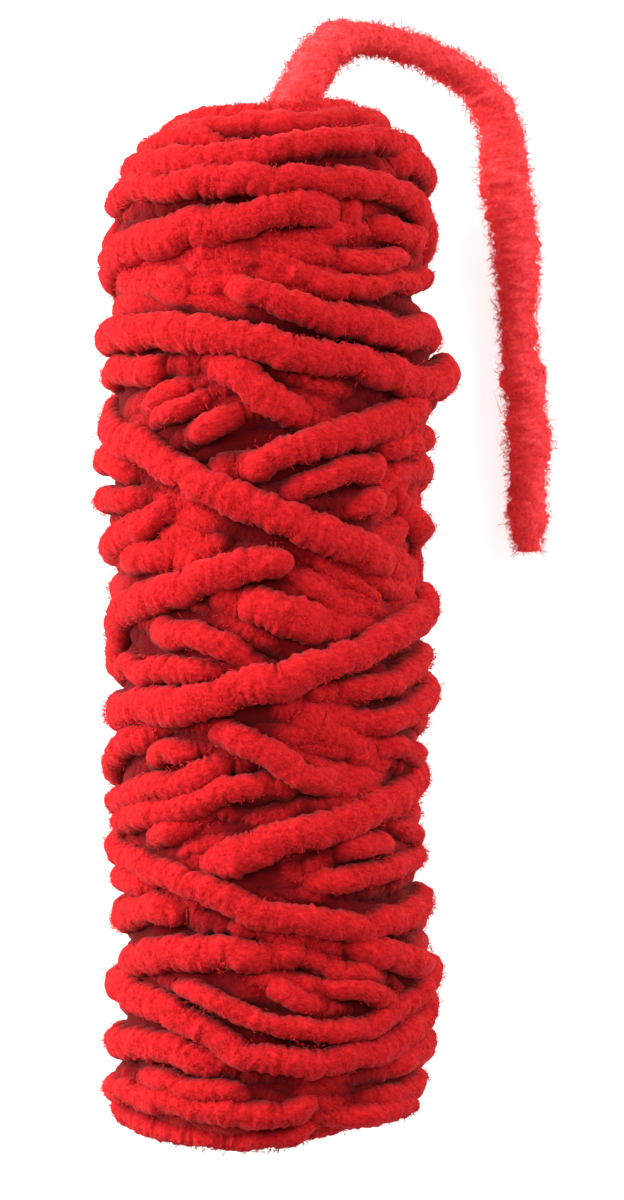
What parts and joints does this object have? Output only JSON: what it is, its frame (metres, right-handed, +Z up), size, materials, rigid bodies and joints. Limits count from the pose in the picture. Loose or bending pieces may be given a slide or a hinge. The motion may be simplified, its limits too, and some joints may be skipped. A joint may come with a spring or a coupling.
{
  "type": "roll of fleece cord",
  "caption": "Long roll of thick felted cord wound criss-cross, lying on its side with its loose end drawn out of the top.",
  "frame": {"origin": "on the surface that the roll lies on, under the middle of the wound roll", "axes": "+Y along the roll's axis towards the end that the loose end leaves, +X towards the side where the loose end lies, +Z up"},
  "size_m": [0.0735, 0.179, 0.0529],
  "materials": {
    "fleece_cord": "matt felted wool with a halo of loose fibres"
  },
  "bodies": {
    "root": {"wound_roll": "fleece_cord", "loose_end": "fleece_cord"}
  },
  "joints": []
}
